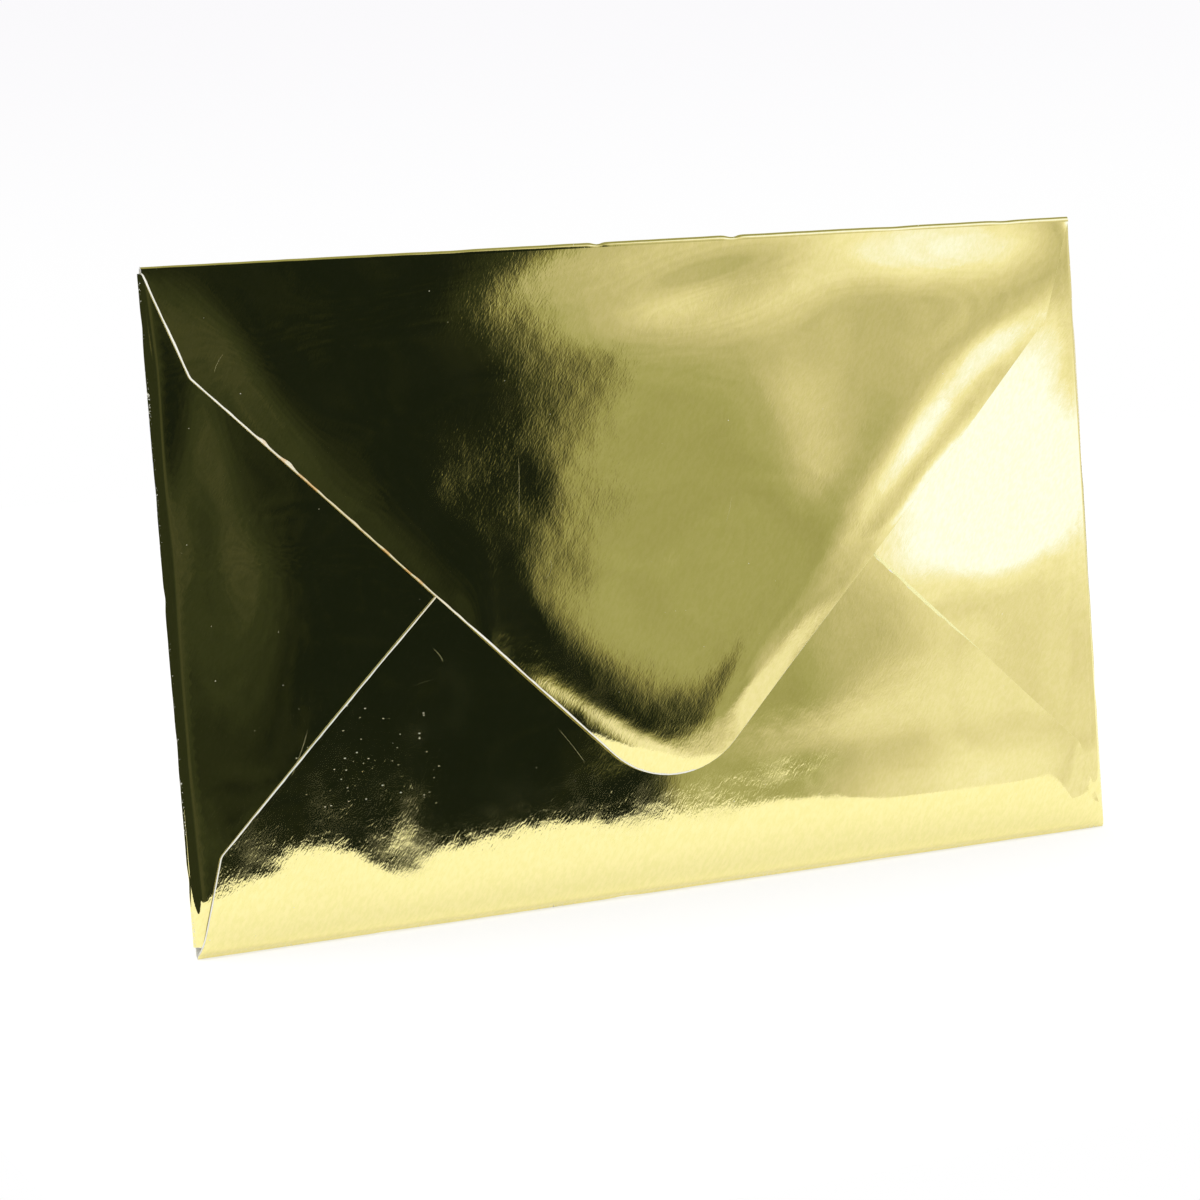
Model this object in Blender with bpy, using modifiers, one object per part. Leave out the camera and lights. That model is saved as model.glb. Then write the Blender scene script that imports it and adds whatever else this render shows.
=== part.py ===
# Foil envelope: one die-cut blank of paper laminated with a gold film, folded at four creases and glued
# into a pocket, with a pointed seal flap that hinges on the top crease.
# Metres, +Z up. X runs along the long edge, the seal flap's side faces -Y and the address side +Y.
# The origin is under the middle of the envelope, level with the bottom fold that it stands on.

import math
from collections import namedtuple

import bmesh
import bpy

MM = 0.001

# The closed envelope
ENVELOPE_WIDTH = 162.0 * MM
ENVELOPE_HEIGHT = 105.0 * MM

# The laminated sheet, and the layers between its folded panels
PAPER_THICKNESS = 0.12 * MM
FILM_THICKNESS = 0.03 * MM
GLUE_THICKNESS = 0.03 * MM
GUM_THICKNESS = 0.03 * MM
LAYER_CLEARANCE = 0.04 * MM
POCKET_SLACK = 0.30 * MM

# How far the empty pocket stands open, and how far the flap springs off it
BACK_CROWN = 2.0 * MM
FACE_CROWN = 1.0 * MM
CROWN_FULLNESS = 2.6
FLAP_SPRING = 1.6 * MM

# The seal flap: slanted shoulders from the top corners, straight edges and a round tip
SEAL_FLAP_DEPTH = 86.0 * MM
SEAL_TIP_RADIUS = 15.0 * MM
SEAL_ELBOW_INSET = 6.2 * MM
SEAL_ELBOW_DROP = 17.1 * MM
HINGE_GAP = 0.25 * MM

# The bottom flap: short slanted shoulders, straight seam edges and a blunt top inside the seal flap
BOTTOM_FLAP_HEIGHT = 67.0 * MM
BOTTOM_ELBOW_INSET = 4.9 * MM
BOTTOM_ELBOW_RISE = 15.4 * MM
BOTTOM_EDGE_ANGLE = math.radians(44.0)
BOTTOM_TOP_RADIUS = 10.0 * MM

# The side flaps, tucked under the other two
SIDE_TOP_ANGLE = math.radians(35.0)
SIDE_TIP_RADIUS = 9.0 * MM
SEAM_OVERLAP = 12.0 * MM

# Where the die relieves the sheet at the corners, so that no two creases meet
FOLD_END_INSET = 0.4 * MM
SIDE_TOP_RELIEF = 1.0 * MM
SIDE_BOTTOM_RELIEF = 1.9 * MM
ELBOW_RADIUS = 2.0 * MM

# Glue along each seam, and the gum strip inside the seal flap
GLUE_MARGIN = 2.0 * MM
GLUE_WIDTH = 6.0 * MM
GLUE_START_RISE = 4.0 * MM
GLUE_LENGTH = 52.0 * MM
GUM_MARGIN = 2.5 * MM
GUM_WIDTH = 10.0 * MM
GUM_END_DROP = 22.0 * MM

# How finely the sheets are divided before they are bent
GRID_COLUMNS = 20
GRID_ROWS = 18
FOLD_STEPS = 7
CORNER_STEPS = 8
CUT_SNAP = 0.005 * MM

# The white paper, the gold film and the two adhesives
Finish = namedtuple("Finish", "colour roughness metallic")
PAPER = Finish((0.90, 0.89, 0.86, 1.0), 0.75, 0.0)
GOLD_FILM = Finish((0.90, 0.81, 0.32, 1.0), 0.08, 1.0)
SEAM_GLUE = Finish((0.86, 0.84, 0.78, 1.0), 0.40, 0.0)
FLAP_GUM = Finish((0.80, 0.79, 0.74, 1.0), 0.25, 0.0)

# A crease: the fold's axis runs along X or Z at `at`, the panel lies on the `inward` side of it
Fold = namedtuple("Fold", "along at inward radius axis_y")

# Depths of the layers. Film lies on the paper with a clearance, and each flap on the one folded before it.
film_offset = PAPER_THICKNESS / 2 + LAYER_CLEARANCE + FILM_THICKNESS / 2
skin = film_offset + FILM_THICKNESS / 2
sheet = PAPER_THICKNESS / 2 + skin
glue_gap = GLUE_THICKNESS + 2 * LAYER_CLEARANCE
gum_gap = GUM_THICKNESS + 2 * LAYER_CLEARANCE

side_depth = PAPER_THICKNESS + POCKET_SLACK
bottom_depth = side_depth + sheet + glue_gap
seal_depth = bottom_depth + sheet + gum_gap


def crown(x, z):
    """How full the pocket is at a place, from 0 at the folds to 1 in the middle."""
    u = abs(x) / (side_line - LAYER_CLEARANCE)
    v = abs(2 * (z - base_line) / (top_line - base_line) - 1)
    return max(0.0, 1 - u ** CROWN_FULLNESS) * max(0.0, 1 - v ** CROWN_FULLNESS)


def spring(z):
    """How far the seal flap stands off the pocket, growing from its crease to its tip."""
    return FLAP_SPRING * ((top_line - z) / SEAL_FLAP_DEPTH) ** 2


def fold_reach(radius):
    """How far a faceted fold stands out from its axis: to the flat of its outermost facet."""
    return (radius + film_offset) * math.cos(math.pi / (2 * FOLD_STEPS)) + FILM_THICKNESS / 2


# Fold lines, each set in from the envelope's edge by its fold
side_radius = side_depth / 2
bottom_radius = bottom_depth / 2
top_radius = seal_depth / 2
half_width = ENVELOPE_WIDTH / 2
side_line = half_width - fold_reach(side_radius)
base_line = fold_reach(bottom_radius)
top_line = ENVELOPE_HEIGHT - fold_reach(top_radius)
fold_end = half_width - FOLD_END_INSET

# The address side's depth, so that the crowned envelope is centred on the origin
tip_z = ENVELOPE_HEIGHT - SEAL_FLAP_DEPTH
flap_heights = [tip_z + (top_line - tip_z) * i / 100 for i in range(101)]
flap_reach = max(BACK_CROWN * crown(0, z) + spring(z) for z in flap_heights)
face_y = (seal_depth + flap_reach - FACE_CROWN) / 2
side_y = face_y - side_depth
bottom_y = face_y - bottom_depth
seal_y = face_y - seal_depth

LEFT_FOLD = Fold("z", -side_line, 1, side_radius, (face_y + side_y) / 2)
RIGHT_FOLD = Fold("z", side_line, -1, side_radius, (face_y + side_y) / 2)
BOTTOM_FOLD = Fold("x", base_line, 1, bottom_radius, (face_y + bottom_y) / 2)
TOP_FOLD = Fold("x", top_line, -1, top_radius, (face_y + seal_y) / 2)

# The flap turns about the crest of the top fold, which brings it in line with the address side at 180 degrees
hinge_y = TOP_FOLD.axis_y
hinge_z = top_line + top_radius


def rounded_outline(corners):
    """Points of a closed outline whose corners (x, z, radius) are rounded with tangent arcs."""
    points = []
    for i, (x, z, radius) in enumerate(corners):
        before = corners[i - 1]
        after = corners[(i + 1) % len(corners)]
        if radius == 0:
            points.append((x, z))
            continue
        back = math.atan2(before[1] - z, before[0] - x)
        ahead = math.atan2(after[1] - z, after[0] - x)
        turn = (ahead - back + math.pi) % (2 * math.pi) - math.pi
        reach = radius / abs(math.sin(turn / 2))
        middle = back + turn / 2
        centre_x = x + reach * math.cos(middle)
        centre_z = z + reach * math.sin(middle)
        sweep = math.copysign(math.pi - abs(turn), -turn)
        start = middle + math.pi - sweep / 2
        for step in range(CORNER_STEPS + 1):
            angle = start + sweep * step / CORNER_STEPS
            points.append((centre_x + radius * math.cos(angle), centre_z + radius * math.sin(angle)))
    return points


def mirrored(corners):
    """The outline's left half, followed by its mirror image about the envelope's middle."""
    return corners + [(-x, z, radius) for x, z, radius in reversed(corners)]


def seal_edge(margin):
    """Elbow, apex and tip radius of the seal flap's edge, or of a line that keeps a margin inside it."""
    centre_z = tip_z + SEAL_TIP_RADIUS
    elbow_x = -half_width + SEAL_ELBOW_INSET
    elbow_z = ENVELOPE_HEIGHT - SEAL_ELBOW_DROP
    drop = elbow_z - centre_z
    slant = math.atan2(drop, -elbow_x) + math.asin(SEAL_TIP_RADIUS / math.hypot(elbow_x, drop))
    apex_z = elbow_z + elbow_x * math.tan(slant)
    return elbow_x, elbow_z, apex_z + margin / math.cos(slant), slant, SEAL_TIP_RADIUS - margin


def seal_outline():
    elbow_x, elbow_z, apex_z, slant, radius = seal_edge(0)
    corners = [
        (-fold_end, top_line - HINGE_GAP, 0),
        (elbow_x, elbow_z, ELBOW_RADIUS),
    ]
    tip = [(0, apex_z, radius)]
    return rounded_outline(corners + tip + [(-x, z, r) for x, z, r in reversed(corners)])


def gum_outline():
    """A V that follows the flap's edge, from one elbow round the tip to the other."""
    elbow_x, elbow_z, outer_z, slant, outer_radius = seal_edge(GUM_MARGIN)
    inner_z = outer_z + GUM_WIDTH / math.cos(slant)
    inner_radius = max(outer_radius - GUM_WIDTH, 0)
    end_z = ENVELOPE_HEIGHT - GUM_END_DROP
    outer_x = (outer_z - end_z) / math.tan(slant)
    inner_x = (inner_z - end_z) / math.tan(slant)
    outer = [(outer_x, end_z, 0), (0, outer_z, outer_radius), (-outer_x, end_z, 0)]
    inner = [(-inner_x, end_z, 0), (0, inner_z, inner_radius), (inner_x, end_z, 0)]
    return rounded_outline(outer + inner)


def bottom_outline():
    elbow_x = -half_width + BOTTOM_ELBOW_INSET
    top_x = elbow_x + (BOTTOM_FLAP_HEIGHT - BOTTOM_ELBOW_RISE) / math.tan(BOTTOM_EDGE_ANGLE)
    corners = [
        (top_x, BOTTOM_FLAP_HEIGHT, BOTTOM_TOP_RADIUS),
        (elbow_x, BOTTOM_ELBOW_RISE, ELBOW_RADIUS),
        (-fold_end, base_line + LAYER_CLEARANCE, 0),
    ]
    return rounded_outline(mirrored(corners))


def seam_height(x, overlap):
    """Height at x of a line that runs inside the bottom flap's left edge, the overlap away from it."""
    rise = (x + half_width - BOTTOM_ELBOW_INSET) * math.tan(BOTTOM_EDGE_ANGLE)
    return BOTTOM_ELBOW_RISE + rise - overlap / math.cos(BOTTOM_EDGE_ANGLE)


def side_outline():
    """The left side flap: it slopes down from the top corner, and its lower edge runs under the seam."""
    start_x = -side_line + LAYER_CLEARANCE
    start_z = ENVELOPE_HEIGHT - SIDE_TOP_RELIEF
    slope = math.tan(BOTTOM_EDGE_ANGLE)
    tip_x = start_x + (start_z - seam_height(start_x, SEAM_OVERLAP)) / (slope + math.tan(SIDE_TOP_ANGLE))
    foot_x = start_x + (SIDE_BOTTOM_RELIEF - seam_height(start_x, SEAM_OVERLAP)) / slope
    return rounded_outline([
        (start_x, start_z, 0),
        (start_x, SIDE_BOTTOM_RELIEF, 0),
        (foot_x, SIDE_BOTTOM_RELIEF, ELBOW_RADIUS),
        (tip_x, seam_height(tip_x, SEAM_OVERLAP), SIDE_TIP_RADIUS),
    ])


def glue_outline():
    """The left seam's glue: a strip with round ends, inside the bottom flap's edge."""
    along = (math.cos(BOTTOM_EDGE_ANGLE), math.sin(BOTTOM_EDGE_ANGLE))
    near = GLUE_MARGIN
    far = GLUE_MARGIN + GLUE_WIDTH
    x = -half_width + BOTTOM_ELBOW_INSET + GLUE_START_RISE
    outer = [(x + along[0] * d, seam_height(x, near) + along[1] * d) for d in (0, GLUE_LENGTH)]
    inner = [(x + along[0] * d, seam_height(x, far) + along[1] * d) for d in (0, GLUE_LENGTH)]
    radius = GLUE_WIDTH / 3
    return rounded_outline([
        (inner[0][0], inner[0][1], radius),
        (inner[1][0], inner[1][1], radius),
        (outer[1][0], outer[1][1], radius),
        (outer[0][0], outer[0][1], radius),
    ])


def mirror_outline(points):
    return [(-x, z) for x, z in reversed(points)]


def cut_blank(name, points):
    """The flat sheet inside an outline: a filled 2D curve, read as one face of a bmesh in the XZ plane."""
    curve = bpy.data.curves.new(name + "_outline", "CURVE")
    curve.dimensions = "2D"
    curve.fill_mode = "BOTH"
    spline = curve.splines.new("POLY")
    spline.points.add(len(points) - 1)
    for point, (x, z) in zip(spline.points, points):
        point.co = (x, z, 0, 1)
    spline.use_cyclic_u = True
    guide = bpy.data.objects.new(name + "_outline", curve)
    bpy.context.scene.collection.objects.link(guide)
    bpy.context.view_layer.update()
    flat = bpy.data.meshes.new_from_object(guide.evaluated_get(bpy.context.evaluated_depsgraph_get()))
    blank = bmesh.new()
    blank.from_mesh(flat)
    bpy.data.meshes.remove(flat)
    bpy.data.objects.remove(guide)
    bpy.data.curves.remove(curve)
    for vert in blank.verts:
        vert.co = (vert.co.x, 0, vert.co.y)
    bmesh.ops.remove_doubles(blank, verts=blank.verts, dist=CUT_SNAP)
    bmesh.ops.dissolve_faces(blank, faces=blank.faces[:])
    return blank


def score(blank, axis, places):
    """Divide the sheet along lines of constant x or z, so that it can bend there."""
    normal = (1, 0, 0) if axis == "x" else (0, 0, 1)
    for place in places:
        origin = tuple(place * n for n in normal)
        geometry = blank.verts[:] + blank.edges[:] + blank.faces[:]
        bmesh.ops.bisect_plane(blank, geom=geometry, dist=CUT_SNAP, plane_co=origin, plane_no=normal)


def grid_lines(low, high, count):
    return [low + (high - low) * i / count for i in range(1, count)]


def finish_sheet(name, blank, thickness, finish):
    """Turn a bent sheet into a solid of even thickness, with its own material."""
    bmesh.ops.triangulate(blank, faces=blank.faces[:], quad_method="SHORT_EDGE", ngon_method="BEAUTY")
    bmesh.ops.recalc_face_normals(blank, faces=blank.faces[:])
    mesh = bpy.data.meshes.new(name)
    blank.to_mesh(mesh)
    blank.free()
    part = bpy.data.objects.new(name, mesh)
    parts.objects.link(part)
    solidify = part.modifiers.new("Thickness", "SOLIDIFY")
    solidify.thickness = thickness
    solidify.offset = 0
    solidify.use_even_offset = True
    material = bpy.data.materials.new(name)
    material.use_nodes = True
    shader = material.node_tree.nodes["Principled BSDF"]
    shader.inputs["Base Color"].default_value = finish.colour
    shader.inputs["Roughness"].default_value = finish.roughness
    shader.inputs["Metallic"].default_value = finish.metallic
    mesh.materials.append(material)
    return part


def bowed_panel(name, points, bow, thickness, finish):
    """A panel between the creases: its blank, scored in a grid and bowed by bow(x, z)."""
    blank = cut_blank(name, points)
    score(blank, "x", grid_lines(-side_line, side_line, GRID_COLUMNS))
    score(blank, "z", grid_lines(base_line, top_line, GRID_ROWS))
    for vert in blank.verts:
        vert.co.y = bow(vert.co.x, vert.co.z)
    return finish_sheet(name, blank, thickness, finish)


def crease(name, fold, start, end, offset, thickness, finish):
    """The strip of sheet that wraps half way round a fold, from the address side to the flap."""
    strip = math.pi * fold.radius
    low, high = sorted((fold.at, fold.at - fold.inward * strip))
    if fold.along == "x":
        points = [(start, low), (end, low), (end, high), (start, high)]
    else:
        points = [(low, start), (high, start), (high, end), (low, end)]
    blank = cut_blank(name, points)
    score(blank, "z" if fold.along == "x" else "x", grid_lines(low, high, FOLD_STEPS))
    across = 2 if fold.along == "x" else 0
    for vert in blank.verts:
        turn = abs(vert.co[across] - fold.at) / fold.radius
        vert.co[across] = fold.at - fold.inward * (fold.radius + offset) * math.sin(turn)
        vert.co.y = fold.axis_y - (fold.radius + offset) * math.cos(turn)
    return finish_sheet(name, blank, thickness, finish)


def laminated_panel(name, film_name, points, depth, bow):
    """A panel's paper and its film, which lies on the outside."""
    def paper_bow(x, z):
        return face_y - depth - bow(x, z)

    def film_bow(x, z):
        return paper_bow(x, z) - film_offset

    paper = bowed_panel(name, points, paper_bow, PAPER_THICKNESS, PAPER)
    film = bowed_panel(film_name, points, film_bow, FILM_THICKNESS, GOLD_FILM)
    return paper, film


def laminated_crease(name, fold, start, end):
    crease(name, fold, start, end, 0, PAPER_THICKNESS, PAPER)
    crease(name + "_film", fold, start, end, film_offset, FILM_THICKNESS, GOLD_FILM)


def pocket_bow(x, z):
    return BACK_CROWN * crown(x, z)


def flap_bow(x, z):
    return pocket_bow(x, z) + spring(z)


def address_side():
    """The plain panel at the back, a rectangle between the four folds."""
    edge_x = side_line - LAYER_CLEARANCE
    low = base_line + LAYER_CLEARANCE
    high = top_line - LAYER_CLEARANCE
    points = [(-edge_x, low), (edge_x, low), (edge_x, high), (-edge_x, high)]

    def paper_bow(x, z):
        return face_y + FACE_CROWN * crown(x, z)

    def film_bow(x, z):
        return paper_bow(x, z) + film_offset

    bowed_panel("face_panel", points, paper_bow, PAPER_THICKNESS, PAPER)
    bowed_panel("face_film", points, film_bow, FILM_THICKNESS, GOLD_FILM)


def creases():
    """The four folds, stopped short of the corners."""
    low = SIDE_BOTTOM_RELIEF
    high = ENVELOPE_HEIGHT - SIDE_TOP_RELIEF
    laminated_crease("left_fold", LEFT_FOLD, low, high)
    laminated_crease("right_fold", RIGHT_FOLD, low, high)
    laminated_crease("bottom_fold", BOTTOM_FOLD, -fold_end, fold_end)
    laminated_crease("top_fold", TOP_FOLD, -fold_end, fold_end)


def side_flaps():
    left = side_outline()
    laminated_panel("left_side_flap", "left_side_film", left, side_depth, pocket_bow)
    laminated_panel("right_side_flap", "right_side_film", mirror_outline(left), side_depth, pocket_bow)


def bottom_flap():
    """The bottom flap lies over the side flaps, and glue holds it to them."""
    laminated_panel("bottom_flap", "bottom_flap_film", bottom_outline(), bottom_depth, pocket_bow)
    glue_depth = bottom_depth - PAPER_THICKNESS / 2 - LAYER_CLEARANCE - GLUE_THICKNESS / 2

    def glue_bow(x, z):
        return face_y - glue_depth - pocket_bow(x, z)

    left = glue_outline()
    bowed_panel("left_seam_glue", left, glue_bow, GLUE_THICKNESS, SEAM_GLUE)
    bowed_panel("right_seam_glue", mirror_outline(left), glue_bow, GLUE_THICKNESS, SEAM_GLUE)


def seal_flap():
    """The moving flap and its gum, with their origins on the hinge line."""
    paper, film = laminated_panel("seal_flap", "seal_flap_film", seal_outline(), seal_depth, flap_bow)
    gum_depth = seal_depth - PAPER_THICKNESS / 2 - LAYER_CLEARANCE - GUM_THICKNESS / 2

    def gum_bow(x, z):
        return face_y - gum_depth - flap_bow(x, z)

    gum = bowed_panel("seal_gum", gum_outline(), gum_bow, GUM_THICKNESS, FLAP_GUM)
    for part in (paper, film, gum):
        for vert in part.data.vertices:
            vert.co.y -= hinge_y
            vert.co.z -= hinge_z
        part.location = (0, hinge_y, hinge_z)


for old in list(bpy.data.objects):
    bpy.data.objects.remove(old, do_unlink=True)
parts = bpy.data.collections.new("foil_envelope")
bpy.context.scene.collection.children.link(parts)

address_side()
creases()
side_flaps()
bottom_flap()
seal_flap()

print("hinge line at y %.6f z %.6f m" % (hinge_y, hinge_z))
print("address side at y %.6f, its middle at z %.6f m" % (face_y + skin + FACE_CROWN, (base_line + top_line) / 2))
print("standing edge at y %.6f m" % BOTTOM_FOLD.axis_y)
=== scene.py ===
import math
from collections import namedtuple

import bmesh
import bpy
import numpy as np
from mathutils import Matrix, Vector
from mathutils.geometry import delaunay_2d_cdt


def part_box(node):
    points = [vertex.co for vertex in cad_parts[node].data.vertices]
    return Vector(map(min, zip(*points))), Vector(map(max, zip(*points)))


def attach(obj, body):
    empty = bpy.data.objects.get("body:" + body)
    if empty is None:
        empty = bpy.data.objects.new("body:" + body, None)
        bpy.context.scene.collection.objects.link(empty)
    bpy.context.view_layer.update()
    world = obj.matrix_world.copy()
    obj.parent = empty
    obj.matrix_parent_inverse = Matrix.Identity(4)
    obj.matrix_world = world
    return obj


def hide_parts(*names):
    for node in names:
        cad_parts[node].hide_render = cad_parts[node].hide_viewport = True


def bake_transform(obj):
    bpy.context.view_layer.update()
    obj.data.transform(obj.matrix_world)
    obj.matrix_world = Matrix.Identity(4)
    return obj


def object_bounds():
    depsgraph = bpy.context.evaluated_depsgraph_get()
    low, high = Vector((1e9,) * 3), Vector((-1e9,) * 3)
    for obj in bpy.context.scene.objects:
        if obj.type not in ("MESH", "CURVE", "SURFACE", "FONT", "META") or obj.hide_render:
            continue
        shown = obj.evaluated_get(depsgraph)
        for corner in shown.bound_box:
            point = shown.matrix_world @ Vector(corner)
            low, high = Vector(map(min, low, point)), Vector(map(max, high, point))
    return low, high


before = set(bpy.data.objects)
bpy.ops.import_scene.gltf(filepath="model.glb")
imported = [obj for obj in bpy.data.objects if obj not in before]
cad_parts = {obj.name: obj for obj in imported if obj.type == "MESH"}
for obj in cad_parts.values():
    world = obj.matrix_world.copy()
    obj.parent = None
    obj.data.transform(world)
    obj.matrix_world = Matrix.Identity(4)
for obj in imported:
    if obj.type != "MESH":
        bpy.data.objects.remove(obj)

MM = 0.001
cad_low, cad_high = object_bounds()


# The studio. A white table carries the envelope and ends outside the picture: 165 mm in front of it, and with its
# front right corner cut away. The foil is a mirror, so a glowing screen round the table, seen only in the foil,
# stands for the room with painted light and shade: a dark half, a pale wall with windows, and a low worktop.
# Behind the envelope the foil sees the table darken to a painted shade.

class Wire:
    """One socket of a material's nodes. Arithmetic on it adds Math nodes to the same tree."""

    def __init__(self, tree, socket=None):
        self.tree = tree
        self.socket = socket

    def node(self, kind, settings=None, sockets=None, output=0):
        """A new node: its settings come first, then the values or links of its sockets."""
        made = self.tree.nodes.new("ShaderNode" + kind)
        for name, value in (settings or {}).items():
            if name == "stops":
                ramp = made.color_ramp
                while len(ramp.elements) < len(value):
                    ramp.elements.new(1.0)
                for stop, (position, colour) in zip(ramp.elements, value):
                    stop.position = position
                    stop.color = (*colour, 1.0)
            else:
                setattr(made, name, value)
        for name, value in (sockets or {}).items():
            if isinstance(value, Wire):
                self.tree.links.new(value.socket, made.inputs[name])
            else:
                made.inputs[name].default_value = value
        return Wire(self.tree, made.outputs[output] if made.outputs else None)

    def out(self, name):
        return Wire(self.tree, self.socket.node.outputs[name])

    def math(self, operation, *values):
        return self.node("Math", {"operation": operation}, dict(enumerate(values)))

    def __add__(self, other):
        return self.math("ADD", self, other)

    def __sub__(self, other):
        return self.math("SUBTRACT", self, other)

    def __mul__(self, other):
        return self.math("MULTIPLY", self, other)

    def __rsub__(self, other):
        return self.math("SUBTRACT", other, self)

    __radd__ = __add__
    __rmul__ = __mul__

    def larger(self, other):
        return self.math("MAXIMUM", self, other)

    def between(self, low, high):
        """Rises smoothly from 0 to 1 as the value goes from low to high."""
        return self.node("MapRange", {"interpolation_type": "SMOOTHSTEP"},
                         {"Value": self, "From Min": low, "From Max": high})

    def tint(self, below, above):
        """The colour below, covered by the one above to the share that this socket gives."""
        return self.node("Mix", {"data_type": "RGBA"}, {0: self, 6: below, 7: above}, output=2)


def new_material(name):
    material = bpy.data.materials.new(name)
    material.use_nodes = True
    material.node_tree.nodes.clear()
    return material, Wire(material.node_tree)


def link(item):
    bpy.context.scene.collection.objects.link(item)
    return item


scene = bpy.context.scene
scene.view_settings.view_transform = "Standard"

camera = link(bpy.data.objects.new("camera", bpy.data.cameras.new("camera")))
camera.data.sensor_width = 36.0
camera.data.lens = 88.47
camera.data.clip_start = 0.01
place = (-0.19099, -0.43315, 0.08468)
right = (0.918576, -0.388569, -0.072339)
up = (0.096660, 0.043384, 0.994371)
back = (-0.383244, -0.920398, 0.077411)
camera.matrix_world = Matrix.Translation(place) @ Matrix((right, up, back)).transposed().to_4x4()
scene.camera = camera

AIR_LIGHT = 0.95
AIR_SEEN = 1.0
air = bpy.data.worlds.new("studio_air")
air.use_nodes = True
air.node_tree.nodes.clear()
scene.world = air
sky = Wire(air.node_tree)
direction = sky.node("TexCoord", output="Generated")
height = sky.node("SeparateXYZ", {}, {"Vector": direction}, output="Z")
seen_colour = height.between(0.02, 0.16).tint((1.0, 1.0, 1.0, 1.0), (0.955, 0.945, 0.965, 1.0))
seen = sky.node("Background", {}, {"Color": seen_colour, "Strength": AIR_SEEN})
light = sky.node("Background", {}, {"Color": (1.0, 1.0, 1.0, 1.0), "Strength": AIR_LIGHT})
path = sky.node("LightPath", output="Is Camera Ray")
shown = path.larger(path.out("Is Glossy Ray")).larger(path.out("Is Transmission Ray"))
mixed = sky.node("MixShader", {}, {0: shown, 1: light, 2: seen})
sky.node("OutputWorld", {}, {"Surface": mixed})

lamp = link(bpy.data.objects.new("soft_lamp", bpy.data.lights.new("soft_lamp", "AREA")))
lamp.data.shape = "DISK"
lamp.data.size = 0.9
lamp.data.energy = 2.2
lamp.location = (-0.25, -0.35, 1.1)
lamp.rotation_euler = (math.radians(-16), math.radians(-12), 0)
lamp.visible_glossy = False

TABLE_EDGE = [(-0.13, 2.2), (-0.13, -0.165), (0.06, -0.165), (0.112, -0.157), (0.142, -0.118), (0.10, -0.035),
              (1.4, -0.035), (1.4, 2.2)]
TABLE_CLEARANCE = 0.02 * MM
floor_mesh = bpy.data.meshes.new("white_table")
floor_mesh.from_pydata([(x, y, 0) for x, y in TABLE_EDGE], [], [range(len(TABLE_EDGE))])
floor = link(bpy.data.objects.new("white_table", floor_mesh))
floor.location.z = -TABLE_CLEARANCE
material, table = new_material("white_table")
matte = table.node("BsdfDiffuse", {}, {"Color": (0.88, 0.87, 0.875, 1.0)})
path = table.node("LightPath", output="Is Camera Ray")
mirrored = path.out("Is Glossy Ray")
shown = path.larger(mirrored).larger(path.out("Is Transmission Ray"))
# Painted light and shade on the table, for mirrored rays only: it glows brighter and bluer than the camera sees it,
# and darkens to a painted shade from 168 mm behind the envelope. The camera sees it white, with the object's
# shadow.
behind = table.node("SeparateXYZ", {}, {"Vector": table.node("TexCoord", output="Object")}, output="Y")
shade = behind.between(0.168, 0.176) * 0.8 + behind.between(0.18, 0.6) * 0.2
glow_colour = mirrored.tint((0.94, 0.94, 0.94, 1.0),
                            shade.tint((0.97, 0.98, 1.2, 1.0), (0.165, 0.16, 0.14, 1.0)))
glow = table.node("Emission", {}, {"Color": glow_colour, "Strength": 1.6})
mixed = table.node("MixShader", {}, {0: shown * 0.35 + mirrored * shade * 0.5, 1: matte, 2: glow})
table.node("OutputMaterial", {}, {"Surface": mixed})
floor_mesh.materials.append(material)

SCREEN_RADIUS = 1.5
SCREEN_STEP = 3
SCREEN_CENTRE_Z = 0.05
SCREEN_FOOT = -42
azimuths = list(range(-180, 181, SCREEN_STEP))
elevations = list(range(SCREEN_FOOT, 91, SCREEN_STEP))
points = []
for el in np.radians(elevations):
    for az in np.radians(azimuths):
        points.append((SCREEN_RADIUS * math.cos(el) * math.sin(az), -SCREEN_RADIUS * math.cos(el) * math.cos(az),
                       SCREEN_CENTRE_Z + SCREEN_RADIUS * math.sin(el)))
row = len(azimuths)
faces = [(i * row + j, i * row + j + 1, (i + 1) * row + j + 1, (i + 1) * row + j)
         for i in range(len(elevations) - 1) for j in range(row - 1)]
screen_mesh = bpy.data.meshes.new("room_screen")
screen_mesh.from_pydata(points, [], faces)
for name, values in (("azimuth", azimuths * len(elevations)),
                     ("elevation", [el for el in elevations for _ in azimuths])):
    attribute = screen_mesh.attributes.new(name, "FLOAT", "POINT")
    attribute.data.foreach_set("value", np.array(values, np.float32))
screen = link(bpy.data.objects.new("room_screen", screen_mesh))
for kind in ("camera", "diffuse", "transmission", "volume_scatter", "shadow"):
    setattr(screen, "visible_" + kind, False)
material, room = new_material("room_screen")
azimuth = room.node("Attribute", {"attribute_name": "azimuth"}, output="Fac")
elevation = room.node("Attribute", {"attribute_name": "elevation"}, output="Fac")


def patch(tone, level, az, el):
    """The screen's tone with one more soft-edged patch on it, from one edge to another along az and el.

    Each edge is (place, softness), in degrees."""
    share = 1.0
    for value, edges in ((azimuth, az), (elevation, el)):
        for side, edge in enumerate(edges):
            if edge:
                step = value.between(edge[0] - 3 * edge[1], edge[0] + 3 * edge[1])
                share = (1 - step if side else step) * share
    return tone + share * (level - tone)


# Painted light and shade: the screen glows, and only mirrored rays see it. Its patches are the room's light and
# shade, and the dark line past the table is a painted shadow under the worktop's edge.
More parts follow.
